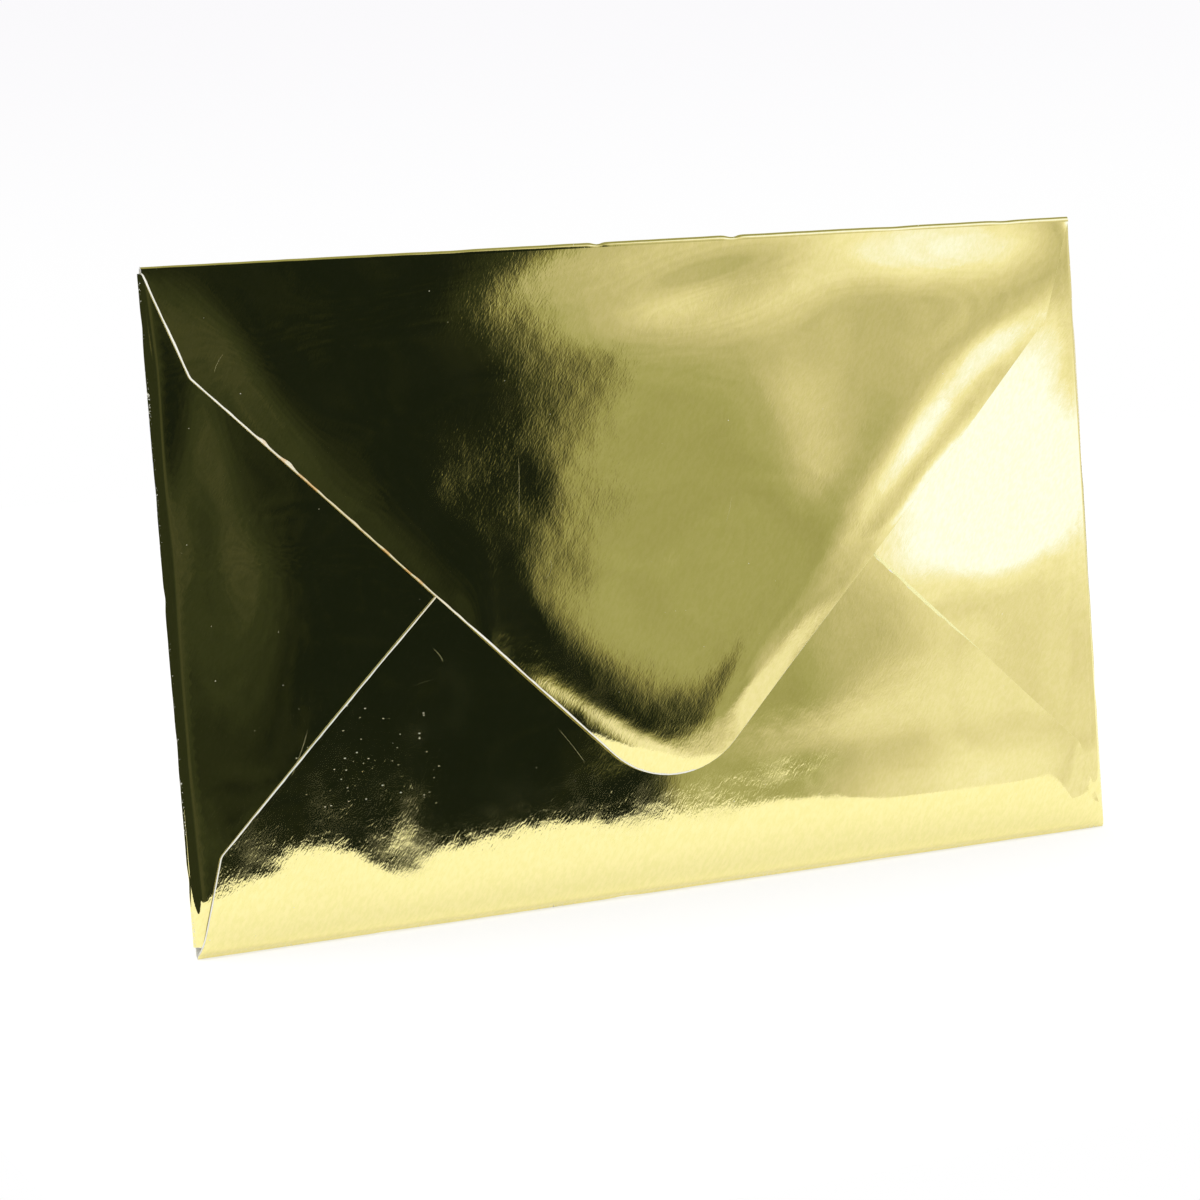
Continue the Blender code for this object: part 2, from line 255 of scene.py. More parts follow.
tone = 0.096
for level, az, el in (
        (0.238, (None, (8.4, 2.9)), ()),                                # the dim half, left of the pale wall
        (0.585, ((22.93, 0.21), None), ((-9.65, 0.37), None)),          # the olive wall
        (0.97, ((25.34, 1.64), None), ((7.23, 3.03), None)),            # its upper window
        (0.82, ((29.4, 0.7), None), (None, (-4.6, 0.5))),               # the pale worktop
        (1.01, ((28.6, 1.13), None), ((-5.2, 0.7), (2.6, 0.96))),       # the window over the worktop
        (0.876, ((20.7, 0.2), None), (None, (-7.54, 0.2))),             # the worktop's front
        (0.0, (None, (26.47, 1.14)), ((-12.22, 0.68), (-12.0, 0.68))),  # a dark line past the table
        (0.16, (None, (-8.96, 2.0)), ()),                               # the darkest wall
        (0.85, ((-62.0, 3.0), (-28.0, 3.0)), (None, (-20.0, 1.5))),     # a pale floor on the left
        (0.95, ((-70.0, 2.0), (-38.0, 2.0)), ((12.0, 1.5), (48.0, 3.0))),   # a window over it
        (0.80, ((70.0, 4.0), (118.0, 3.0)), ()),                        # a pale wall on the right
        (0.92, ((124.0, 3.0), (158.0, 3.0)), ((-4.0, 2.0), (30.0, 3.0))),   # a window behind the envelope
        (0.30, (None, (-140.0, 4.0)), ()),                              # a dim corner behind it
        (0.22, (), ((50.0, 3.0), None)),                                # the ceiling
        (0.56, ((24.0, 3.0), None), ((46.0, 3.0), None))):              # the ceiling's pale side
    tone = patch(tone, level, az, el)
cloud = room.node("CombineXYZ", {}, {"X": azimuth, "Y": elevation})
cloud = room.node("TexNoise", {}, {"Vector": cloud, "Scale": 0.8, "Detail": 5.0, "Roughness": 0.65})
tone = tone + (cloud - 0.5) * 0.14
ROOM_TONES = [
    (0.10, (0.010, 0.014, 0.012)),
    (0.12, (0.016, 0.020, 0.014)),
    (0.20, (0.038, 0.046, 0.029)),
    (0.30, (0.096, 0.097, 0.072)),
    (0.40, (0.180, 0.174, 0.111)),
    (0.50, (0.291, 0.285, 0.170)),
    (0.60, (0.418, 0.428, 0.298)),
    (0.70, (0.600, 0.578, 0.536)),
    (0.80, (0.803, 0.770, 0.782)),
    (0.90, (1.024, 1.010, 1.130)),
    (1.00, (1.150, 1.270, 2.400)),
]
TONE_SCALE = 2.5
stops = [(tone_level, tuple(c / TONE_SCALE for c in colour)) for tone_level, colour in ROOM_TONES]
colour = room.node("ValToRGB", {"stops": stops}, {"Fac": tone})
glow = room.node("Emission", {}, {"Color": colour, "Strength": TONE_SCALE})
room.node("OutputMaterial", {}, {"Surface": glow})
screen_mesh.materials.append(material)


# The address side: the plain panel at the back, one sheet of white paper with gold film laminated on its
# outside. It is the part of the die-cut blank that the other panels fold round.

PAPER = 0.12 * MM
FILM = 0.03 * MM
LAMINATE_GAP = 0.04 * MM
CREASE_GAP = 0.04 * MM
FILM_INNER = PAPER / 2 + LAMINATE_GAP
FILM_OUTER = FILM_INNER + FILM
PAPER_OUTER = FILM_INNER - 0.005 * MM
CELL = 1.2 * MM
EDGE_STEP = 0.5 * MM

half_width = cad_high.x
envelope_height = cad_high.z
face_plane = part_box("top_fold")[1].y - PAPER / 2
seal_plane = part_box("top_fold")[0].y + PAPER / 2
bottom_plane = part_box("bottom_fold")[0].y + PAPER / 2
side_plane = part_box("left_fold")[0].y + PAPER / 2
side_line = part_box("face_panel")[1].x + CREASE_GAP
base_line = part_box("face_panel")[0].z - CREASE_GAP
top_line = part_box("face_panel")[1].z + CREASE_GAP
FOLD_END = half_width - 0.4 * MM

# Half the width over which a shoulder's two sides run into each other, in millimetres
SOFT_MIDDLE = 6
Swell = namedtuple("Swell", "x z along across turn height")


def relief(level, swells, side_rise=None, foot_rise=None, top_rise=None, shoulder=None):
    """How far a sheet stands off its fold plane: a level with swells and dents on it, rising from its folds.

    Swells and rises are in millimetres and radians, and a negative height is a dent. A shoulder rounds the
    sheet towards its two sides. The answer is in metres."""
    def stand_off(x, z):
        x, z = np.asarray(x, float) / MM, np.asarray(z, float) / MM
        from_side = np.maximum(side_line / MM - np.abs(x), 0)
        from_foot = np.maximum(z - base_line / MM, 0)
        from_top = np.maximum(top_line / MM - z, 0)
        field = np.full(x.shape, level)
        if shoulder:
            inset = np.maximum(side_line / MM - np.hypot(x, SOFT_MIDDLE), 0)
            field = field * np.sqrt(1 - np.exp(-inset / shoulder))
        for swell in swells:
            c, s = math.cos(swell.turn), math.sin(swell.turn)
            u = (c * (x - swell.x) + s * (z - swell.z)) / swell.along
            v = (c * (z - swell.z) - s * (x - swell.x)) / swell.across
            field = field + swell.height * np.exp(-0.5 * (u * u + v * v))
        for distance, rise in ((from_side, side_rise), (from_foot, foot_rise), (from_top, top_rise)):
            if rise:
                field = field * (1 - np.exp(-distance / rise))
        return field * MM
    return stand_off


def rounded(corners, steps=16):
    """Points of a closed outline whose corners (x, z, radius) are rounded with tangent arcs."""
    outline = []
    for i, (x, z, radius) in enumerate(corners):
        if radius == 0:
            outline.append((x, z))
            continue
        before, after = corners[i - 1], corners[(i + 1) % len(corners)]
        behind = math.atan2(before[1] - z, before[0] - x)
        ahead = math.atan2(after[1] - z, after[0] - x)
        turn = (ahead - behind + math.pi) % (2 * math.pi) - math.pi
        reach = radius / abs(math.sin(turn / 2))
        middle = behind + turn / 2
        centre = x + reach * math.cos(middle), z + reach * math.sin(middle)
        sweep = math.copysign(math.pi - abs(turn), -turn)
        for step in range(steps + 1):
            angle = middle + math.pi - sweep / 2 + sweep * step / steps
            outline.append((centre[0] + radius * math.cos(angle), centre[1] + radius * math.sin(angle)))
    return outline


def stepped(outline, step=EDGE_STEP):
    """The outline with extra points, so that no two neighbours lie further apart than the step."""
    points = np.array(outline, float)
    made = []
    for start, end in zip(points, np.roll(points, -1, axis=0)):
        count = max(1, int(math.ceil(np.linalg.norm(end - start) / step)))
        made.append(start + (end - start) * np.arange(count)[:, None] / count)
    points = np.vstack(made)
    if np.sum(points[:, 0] * np.roll(points[:, 1], -1) - np.roll(points[:, 0], -1) * points[:, 1]) < 0:
        points = points[::-1]
    return points


def inside(outline, x, z):
    found = np.zeros(x.shape, bool)
    for (ax, az), (bx, bz) in zip(outline, np.roll(outline, -1, axis=0)):
        if az != bz:
            found ^= ((az > z) != (bz > z)) & (x < (bx - ax) * (z - az) / (bz - az) + ax)
    return found


FOLD_ZONE = 1.7
FOLD_ROWS = (0.16, 0.36, 0.62, 0.95, 1.4)


def filling(edge, folds):
    """Points inside an outline, a cell apart in staggered rows.

    Along each fold (axis, place, inward) rows at set distances in millimetres take the grid's place."""
    low, high = edge.min(0), edge.max(0)
    rows = np.arange(low[1] + CELL / 2, high[1], CELL * 0.87)
    grid = np.array([(x, z) for i, z in enumerate(rows)
                     for x in np.arange(low[0] + CELL * (0.3 + 0.5 * (i % 2)), high[0], CELL)])
    room = np.full(len(grid), CELL * 0.45)
    for axis, place, inward in folds:
        clear = (grid[:, axis] - place) * inward > FOLD_ZONE * MM
        grid, room = grid[clear], room[clear]
        stations = np.arange(low[1 - axis] + 0.4 * MM, high[1 - axis], 0.7 * MM)
        for depth in FOLD_ROWS:
            extra = np.zeros((len(stations), 2))
            extra[:, axis] = place + inward * depth * MM
            extra[:, 1 - axis] = stations
            grid, room = np.vstack([grid, extra]), np.append(room, np.full(len(extra), 0.12 * MM))
    within = inside(edge, grid[:, 0], grid[:, 1])
    grid, room = grid[within], room[within]
    apart = np.ones(len(grid), bool)
    for start in range(0, len(grid), 2000):
        block = grid[start:start + 2000]
        gap = np.hypot(block[:, None, 0] - edge[None, :, 0], block[:, None, 1] - edge[None, :, 1]).min(1)
        apart[start:start + 2000] = gap > room[start:start + 2000]
    return grid[apart]


def sheet_mesh(name, outline, surface, outward, inner, outer, folds=()):
    """A closed thin sheet over an outline. surface(x, z) gives y; the outside looks along outward, -1 or 1.

    Each fold is (axis, place, inward): the sheet bends sharply there."""
    edge = stepped(outline)
    flat = np.vstack([edge, filling(edge, folds)])
    made = delaunay_2d_cdt([tuple(p) for p in flat], [], [list(range(len(edge)))], 1, 1e-7)
    flat = np.array([tuple(v) for v in made[0]])
    cells = [tuple(face) for face in made[2]]
    x, z = flat[:, 0], flat[:, 1]
    step = 0.02 * MM
    slope_x = (surface(x + step, z) - surface(x - step, z)) / (2 * step)
    slope_z = (surface(x, z + step) - surface(x, z - step)) / (2 * step)
    normal = np.stack([-slope_x, np.ones(len(x)), -slope_z], 1) * outward
    normal /= np.linalg.norm(normal, axis=1, keepdims=True)
    middle = np.stack([x, surface(x, z), z], 1)
    count = len(flat)
    places = np.vstack([middle + normal * outer, middle + normal * inner])
    if outward > 0:
        cells = [(c, b, a) for a, b, c in cells]
    sides = {}
    for a, b, c in cells:
        for start, end in ((a, b), (b, c), (c, a)):
            if (end, start) in sides:
                del sides[(end, start)]
            else:
                sides[(start, end)] = True
    walls = [(end, start, start + count, end + count) for start, end in sides]
    faces = cells + [(c + count, b + count, a + count) for a, b, c in cells] + walls
    mesh = bpy.data.meshes.new(name)
    mesh.from_pydata([tuple(p) for p in places], [], faces)
    normals = [tuple(normal[i]) for face in cells for i in face]
    normals += [tuple(-normal[i]) for a, b, c in cells for i in (c, b, a)]
    for wall in walls:
        along = places[wall[0]] - places[wall[1]]
        across = places[wall[2]] - places[wall[1]]
        out = np.cross(across, along)
        out /= max(np.linalg.norm(out), 1e-12)
        normals += [tuple(out)] * 4
    mesh.normals_split_custom_set(normals)
    rim = np.zeros(2 * count, np.float32)
    rim[:len(edge)] = 1
    rim[count:count + len(edge)] = 1
    mesh.attributes.new("rim", "FLOAT", "POINT").data.foreach_set("value", rim)
    return link(bpy.data.objects.new(name, mesh))


def trimmed(outline, depth, seed, is_fold, chips=()):
    """The outline drawn in from its cut edges by depth(x, z), unevenly, as film wears back from a cut."""
    edge = stepped(outline)
    along = np.roll(edge, -1, axis=0) - np.roll(edge, 1, axis=0)
    along /= np.linalg.norm(along, axis=1, keepdims=True)
    inward = np.stack([-along[:, 1], along[:, 0]], 1)
    draw = np.random.RandomState(seed)
    travel = np.concatenate([[0], np.cumsum(np.linalg.norm(np.diff(edge, axis=0), axis=1))])
    knots = np.arange(0, travel[-1] + 3 * MM, 1.5 * MM)
    ragged = np.interp(travel, knots, draw.uniform(0.75, 1.25, len(knots)))
    amount = depth(edge[:, 0], edge[:, 1]) * ragged
    for x, z, reach, bite in chips:
        gap = np.hypot(edge[:, 0] - x * MM, edge[:, 1] - z * MM) / MM
        amount = amount + bite * MM * np.exp(-0.5 * (gap / reach) ** 2)
    amount[is_fold(edge[:, 0], edge[:, 1])] = 0
    return edge + inward * amount[:, None]


def object_place(tree):
    """The place on the object, in millimetres."""
    place = tree.node("TexCoord", output="Object")
    return tree.node("VectorMath", {"operation": "SCALE"}, {0: place, "Scale": 1 / MM})


# The patch of painted glints, and the dust's sizes with the share of cells that hold a speck
GLINT_X, GLINT_Z, GLINT_REACH_X, GLINT_REACH_Z = -49.5, 27.0, 15.0, 12.0
DUST = ((0.42, 0.11), (0.63, 0.07), (1.1, 0.035))
# Each hair scratch: x, its lower and upper end, how far it leans and how far it bends, in millimetres
HAIRLINES = [
    (-24.0, 62.3, 72.6, 0.8, 0.5),
    (-64.2, 26.0, 33.5, 3.6, 1.2),
    (-38.2, 41.2, 43.6, -1.6, 1.5),
    (-42.6, 38.2, 38.7, 3.4, -1.6),
    (-20.6, 52.4, 55.8, 1.2, 3.2),
    (-15.4, 22.5, 29.0, -4.5, 0.6),
    (-71.0, 88.5, 91.5, 1.8, -1.0),
    (11.8, 58.5, 63.0, 1.4, 0.9),
]


def foil_material(name, wear=None):
    """Gold film laminated on paper: a mirror over which the paper's fibres show as short slanting strokes.

    The strokes are calmer at the lower right and rougher at the upper left. The film carries dust and hair
    scratches, and a patch of painted glints: cream specks for light caught by the fibres. Where wear is given, the
    film is cracked and bares paper."""
    material, tree = new_material(name)
    place = object_place(tree)
    spot = tree.node("SeparateXYZ", {}, {"Vector": place})
    across, upward = spot, spot.out("Z")
    stroke = tree.node("CombineXYZ", {}, {
        "X": across * 0.34 + upward * 0.54, "Y": spot.out("Y"), "Z": upward * 0.85 - across * 1.35})
    peel = tree.node("TexNoise", {}, {"Vector": place, "Scale": 0.28, "Detail": 1.0, "Roughness": 0.5})
    grain = tree.node("TexNoise", {}, {"Vector": stroke, "Scale": 1.9, "Detail": 1.2, "Roughness": 0.6,
                                       "Distortion": 0.5})
    haze = tree.node("TexNoise", {}, {"Vector": place, "Scale": 0.12, "Detail": 3.0})
    east, north = (across - GLINT_X) * (1 / GLINT_REACH_X), (upward - GLINT_Z) * (1 / GLINT_REACH_Z)
    crowd = 1 - (east * east + north * north) + (haze - 0.5) * 1.2
    calm = across.between(-12.0, 20.0) * (1 - upward.between(16.0, 34.0)) * 0.6
    rough = (1 - across.between(-28.0, -10.0)) * upward.between(50.0, 70.0) * 0.6
    rough = rough + crowd.between(0.0, 1.0) * 0.7
    bump = tree.node("Bump", {}, {"Strength": 1.0, "Distance": 0.0054 * MM,
                                  "Height": peel * (1 - calm) + grain * (1 - calm + rough) * 0.25})
    mottle = tree.node("TexNoise", {}, {"Vector": stroke, "Scale": 1.3, "Detail": 3.0, "Roughness": 0.65})

    dust_and_painted_glints = tree.node("Value")
    for size, share in DUST:
        cells = tree.node("TexVoronoi", {}, {"Vector": place, "Scale": size, "Randomness": 1.0})
        chance = tree.node("SeparateColor", {}, {"Color": cells.out("Color")})
        speck = chance.out("Green") * (0.083 * size) + 0.012
        grown = (speck - cells.out("Distance")).between(0.0, 0.02) * (share - chance).between(0.0, 0.01)
        dust_and_painted_glints = dust_and_painted_glints.larger(grown * (chance.out("Blue") * 0.7 + 0.3))
    # Painted glints: cream, non-metallic specks, crowded round the glint patch, stand for light caught by the
    # fibres. They join the dust, so the marks below are partly painted light.
    flat = tree.node("CombineXYZ", {}, {"X": across * 0.7, "Y": spot.out("Y"), "Z": upward * 1.9})
    cells = tree.node("TexVoronoi", {}, {"Vector": flat, "Scale": 1.5, "Randomness": 1.0})
    chance = tree.node("SeparateColor", {}, {"Color": cells.out("Color")})
    glint = (0.21 - cells.out("Distance")).between(0.0, 0.08) * (crowd * 0.13 - chance).between(0.0, 0.01)
    dust_and_painted_glints = dust_and_painted_glints.larger(glint * (chance.out("Blue") * 0.5 + 0.2))

    scratch = tree.node("Value")
    for x, low, high, lean, bend in HAIRLINES:
        along = (upward - low) * (1 / (high - low))
        line = across - x - along * lean - (along * (1 - along)) * bend
        inside_line = along.between(0.0, 0.15) * (1 - along.between(0.8, 1.0))
        scratch = scratch.larger((0.05 - line.math("ABSOLUTE", line)).between(0.0, 0.04) * inside_line)

    marks_and_painted_glints = dust_and_painted_glints.larger(scratch * 0.22)
    if wear:
        crack = tree.node("TexNoise", {}, {"Vector": place, "Scale": 3.0, "Detail": 4.0, "Roughness": 0.7})
        flake = tree.node("TexNoise", {}, {"Vector": place, "Scale": 0.11, "Detail": 2.0})
        marks_and_painted_glints = marks_and_painted_glints.larger((crack + flake * 0.5).between(wear, wear + 0.03))
    gold = mottle.between(0.32, 0.68).tint((0.87, 0.79, 0.295, 1.0), (0.925, 0.83, 0.345, 1.0))
    colour = marks_and_painted_glints.tint(gold, (0.92, 0.91, 0.80, 1.0))
    roughness = 0.02 + haze.between(0.4, 0.75) * 0.025
    shader = tree.node("BsdfPrincipled", {}, {
        "Base Color": colour, "Metallic": 1 - marks_and_painted_glints, "Roughness": roughness + marks_and_painted_glints * 0.6, "Normal": bump})
    tree.node("OutputMaterial", {}, {"Surface": shader})
    return material


def paper_material(name):
    """Uncoated white paper, with a faint mottle and short fibres. Its cut edges are tan between about 44 and 86 mm
    up, with orange smears there, and right of 20 to 34 mm they carry a painted yellow highlight.
    """
    material, tree = new_material(name)
    place = object_place(tree)
    mottle = tree.node("TexNoise", {}, {"Vector": place, "Scale": 0.5, "Detail": 4.0})
    fibres = tree.node("TexNoise", {}, {"Vector": place, "Scale": 3.0, "Detail": 6.0, "Distortion": 1.5})
    colour = mottle.between(0.3, 0.75).tint((0.885, 0.87, 0.83, 1.0), (0.93, 0.925, 0.90, 1.0))
    spot = tree.node("SeparateXYZ", {}, {"Vector": place})
    across, upward = spot, spot.out("Z")
    smear = tree.node("TexNoise", {}, {"Vector": place, "Scale": 0.45, "Detail": 3.0})
    cream = upward.between(44.0, 56.0) * (1 - upward.between(66.0, 86.0))
    edge = (cream * 0.85).tint((0.98, 0.97, 0.87, 1.0), (0.78, 0.68, 0.40, 1.0))
    edge = (smear.between(0.58, 0.64) * cream).tint(edge, (0.80, 0.52, 0.22, 1.0))
    # Painted highlight: right of 20 to 34 mm the cut edges are painted yellow, for light caught along the right
    # seam.
    edge = across.between(20.0, 34.0).tint(edge, (0.98, 0.94, 0.45, 1.0))
    rim = tree.node("Attribute", {"attribute_name": "rim"}, output="Fac")
    colour = rim.between(0.05, 0.4).tint(colour, edge)
    bump = tree.node("Bump", {}, {"Strength": 0.6, "Distance": 0.012 * MM, "Height": fibres})
    shader = tree.node("BsdfPrincipled", {}, {"Base Color": colour, "Roughness": 0.82, "Normal": bump})
    tree.node("OutputMaterial", {}, {"Surface": shader})
    return material


foil = foil_material("gold_foil")
worn_foil = foil_material("gold_foil_on_a_crease", 0.88)
hinge_foil = foil_material("gold_foil_on_the_hinge", 0.97)
paper = paper_material("white_paper")


def dress(piece, material, body, slot, *nodes):
    piece.data.materials.append(material)
    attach(piece, body)
    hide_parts(*nodes)
    return piece


def laminated(paper_node, film_node, outline, film_outline, surface, outward, body, folds=()):
    """A panel of the blank: its paper, and the film on its outside."""
    sheet = sheet_mesh(paper_node + "_sheet", outline, surface, outward, -PAPER / 2, PAPER_OUTER, folds)
    dress(sheet, paper, body, "white_paper", paper_node)
    skin = sheet_mesh(film_node + "_skin", film_outline, surface, outward, FILM_INNER, FILM_OUTER, folds)
    dress(skin, foil, body, "gold_film", film_node)


face_relief = relief(0.95, [
    Swell(-30, 60, 30, 18, 0.3, 0.12),
    Swell(28, 38, 26, 16, -0.4, 0.10),
    Swell(5, 80, 34, 12, 0.1, -0.10),
    Swell(-52, 28, 16, 12, 0.5, -0.12),
    Swell(55, 78, 16, 12, 0.2, 0.10),
], side_rise=9.0, foot_rise=6.0, top_rise=7.0)


def face_surface(x, z):
    return face_plane + face_relief(x, z)


edge_x = side_line - CREASE_GAP
face_outline = [(-edge_x, base_line), (edge_x, base_line), (edge_x, top_line), (-edge_x, top_line)]
laminated("face_panel", "face_film", face_outline, face_outline, face_surface, 1, "pocket")


# The side and bottom creases, where the blank bends round by half a turn. The film cracks along them, so
# white paper shows as fine nicks.

def bent_strip(name, path, start, end, along, inner, outer, seed, dents):
    """A closed thin strip that follows a bent path (across, y, normal across, normal y) along X or Z.

    It wavers a little. Dents are (place, half width, depth) in millimetres."""
    stations = np.arange(start, end, EDGE_STEP)
    stations = np.append(stations[:-1], end)
    draw = np.random.RandomState(seed)
    wobble = np.convolve(draw.uniform(-1, 1, len(stations) + 8), np.hanning(11)[1:-1] / 5, "valid") * 0.04 * MM
    for place, width, depth in dents:
        wobble = wobble - depth * MM * np.exp(-0.5 * ((stations / MM - place) / width) ** 2)
    across, y, normal_across, normal_y = (np.array(v) for v in zip(*path))
    columns = len(across)
    places = []
    for station, shift in zip(stations, wobble):
        for offset in (outer, inner):
            reach = offset + shift * np.abs(normal_across)
            a, b = across + normal_across * reach, y + normal_y * reach
            places += [(station, v, u) if along == "x" else (u, v, station) for u, v in zip(a, b)]
    ring = 2 * columns
    faces = []
    for i in range(len(stations) - 1):
        here, there = i * ring, (i + 1) * ring
        for j in range(columns - 1):
            faces.append((here + j, here + j + 1, there + j + 1, there + j))
            faces.append((here + columns + j + 1, here + columns + j, there + columns + j, there + columns + j + 1))
        faces.append((here + columns, here, there, there + columns))
        faces.append((here + columns - 1, here + ring - 1, there + ring - 1, there + columns - 1))
    last = (len(stations) - 1) * ring
    for j in range(columns - 1):
        faces.append((j + 1, j, j + columns, j + columns + 1))
        faces.append((last + j, last + j + 1, last + j + columns + 1, last + j + columns))
    mesh = bpy.data.meshes.new(name)
    mesh.from_pydata(places, [], faces)
    made = bpy.data.objects.new(name, mesh)
    work = bmesh.new()
    work.from_mesh(mesh)
    bmesh.ops.recalc_face_normals(work, faces=work.faces)
    work.to_mesh(mesh)
    work.free()
    mesh.shade_smooth()
    mesh.set_sharp_from_angle(angle=math.radians(40))
    return link(made)


FOLD_STEPS = 12


def fold_path(at, inward, plane, tail=0.0):
    """Half a turn from the address side's plane to a flap's plane, about an axis at the fold line."""
    radius = (face_plane - plane) / 2
    axis = (face_plane + plane) / 2
    path = []
    for angle in np.linspace(0, math.pi, FOLD_STEPS + 1):
        out, y = math.sin(angle), math.cos(angle)
        path.append((at - inward * radius * out, axis + radius * y, -inward * out, y))
    if tail:
        path.append((at + inward * tail, plane, 0.0, -1.0))
    return path


def crease(node, path, start, end, along, seed, dents):
    sheet = bent_strip(node + "_sheet", path, start, end, along, -PAPER / 2, PAPER_OUTER, seed, dents)
    skin = bent_strip(node + "_skin", path, start, end, along, FILM_INNER, FILM_OUTER, seed, dents)
    return sheet, skin


SIDE_FOOT = 1.9 * MM
SIDE_HEAD = envelope_height - 1.0 * MM
LEFT_DENTS = [(96, 1.2, 0.12), (55, 0.9, 0.16), (71, 1.5, 0.08), (33, 1.8, 0.08), (12, 1.0, 0.12)]
RIGHT_DENTS = [(63.1, 1.6, 0.22), (24, 1.2, 0.16), (88, 2.0, 0.10), (44, 2.2, 0.08)]
BOTTOM_DENTS = [(-9.8, 1.2, 0.12), (38, 2.5, 0.06), (-50, 2.0, 0.06)]
for node, at, inward, plane, start, end, along, seed, dents in (
        ("left_fold", -side_line, 1, side_plane, SIDE_FOOT, SIDE_HEAD, "z", 3, LEFT_DENTS),
        ("right_fold", side_line, -1, side_plane, SIDE_FOOT, SIDE_HEAD, "z", 5, RIGHT_DENTS),
        ("bottom_fold", base_line, 1, bottom_plane, -FOLD_END, FOLD_END, "x", 7, BOTTOM_DENTS)):
    sheet, skin = crease(node, fold_path(at, inward, plane), start, end, along, seed, dents)
    dress(sheet, paper, "pocket", "white_paper", node)
    dress(skin, worn_foil, "pocket", "gold_film", node + "_film")


# The seal flap, with slanted shoulders, straight edges and a round tip. It springs off the pocket towards its
# tip, and carries a V of dry gum inside. The top crease is the same sheet.

SEAL_DEPTH = 86.0 * MM
TIP_RADIUS = 15.0 * MM
ELBOW_RADIUS = 2.0 * MM
HINGE_GAP = 0.25 * MM
tip_z = envelope_height - SEAL_DEPTH
SEAL_ELBOW_INSET = 6.2 * MM
SEAL_ELBOW_DROP = 17.1 * MM
seal_x, seal_z = -half_width + SEAL_ELBOW_INSET, envelope_height - SEAL_ELBOW_DROP
drop = seal_z - tip_z - TIP_RADIUS
slant = math.atan2(drop, -seal_x) + math.asin(TIP_RADIUS / math.hypot(seal_x, drop))
apex_z = seal_z + seal_x * math.tan(slant)
seal_outline = rounded([(-FOLD_END, top_line - HINGE_GAP, 0), (seal_x, seal_z, ELBOW_RADIUS),
                        (0, apex_z, TIP_RADIUS), (-seal_x, seal_z, ELBOW_RADIUS),
                        (FOLD_END, top_line - HINGE_GAP, 0)])
seal_relief = relief(1.85, [
    Swell(-43.3, 97.7, 23.6, 5.7, 0.25, 0.809),
    Swell(-29.9, 85.3, 17.4, 5.7, -0.26, 0.185),
    Swell(13.7, 97.6, 11.7, 3.3, 0.23, -0.651),
    Swell(29.2, 107.1, 61.0, 13.3, -0.14, -1.218),
    Swell(57.9, 97.8, 20.3, 5.8, -0.00, 0.813),
    Swell(-32.3, 61.1, 13.6, 12.3, -0.44, 0.341),
    Swell(-14.1, 77.5, 14.4, 11.1, -0.26, -0.340),
    Swell(10.4, 73.1, 13.9, 7.7, 0.25, -0.300),
    Swell(35.9, 83.3, 7.0, 13.9, -0.26, -0.274),
    Swell(-17.5, 52.6, 10.9, 4.2, -0.56, -0.039),
    Swell(6.9, 51.8, 12.5, 6.2, 0.63, -0.239),
    Swell(21.3, 34.1, 10.6, 11.1, 0.00, -0.216),
    Swell(7.1, 31.0, 12.8, 4.0, 0.65, 0.101),
    Swell(22.9, 43.1, 64.6, 3.8, 0.87, 0.178),
    Swell(48.2, 61.2, 13.7, 2.7, 0.77, 0.273),
    Swell(-46.3, 69.2, 32.0, 5.6, -0.22, -0.211),
    Swell(-48.4, 77.3, 10.4, 7.5, -0.52, 0.578),
    Swell(-68.1, 95.8, 3.4, 17.9, 0.54, 0.418),
    Swell(27.1, 64.6, 9.8, 6.6, -0.33, 0.100),
    Swell(66.4, 88.0, 8.1, 3.4, 0.38, 0.190),
    Swell(56.4, 87.0, 9.5, 6.8, 0.16, 0.147),
    Swell(-28.2, 42.8, 6.0, 9.5, 0.00, 0.113),
    Swell(-40.1, 60.5, 19.2, 2.5, 0.34, 0.026),
    Swell(4.0, 24.3, 5.4, 3.4, -0.17, -0.037),
    Swell(-15.5, 25.9, 5.0, 3.7, -0.03, 0.013),
    Swell(-31.2, 45.4, 2.0, 5.8, 0.06, 0.144),
    Swell(-22.5, 67.0, 2.8, 3.5, 0.54, -0.026),
    Swell(-27.5, 66.8, 3.3, 4.4, 0.10, -0.024),
    Swell(-36.8, 57.5, 3.8, 6.1, 0.59, 0.121),
    Swell(-27.1, 43.6, 7.5, 3.2, -0.53, -0.030),
    Swell(-45.9, 55.5, 4.4, 11.5, 0.81, -0.376),
    Swell(-44.6, 67.1, 6.0, 4.4, -0.37, 0.263),
    Swell(14.2, 32.9, 2.7, 4.5, -0.54, 0.063),
    Swell(9.6, 21.2, 2.8, 5.0, -0.34, 0.127),
], top_rise=9.04, shoulder=25.0)
# The cut edge's curl on each side of the tip: side, depth, width, height where it fades and how softly. Then the
# place where the two meet, and how softly they do. All are in millimetres.
CURLS = [(-1, 0.104, 6.57, 30.8, 4.08), (1, -0.042, 4.24, 39.3, 2.73)]
CURLS_MEET, CURLS_BLEND = 2, 3
rim_line = np.array(seal_outline) / MM


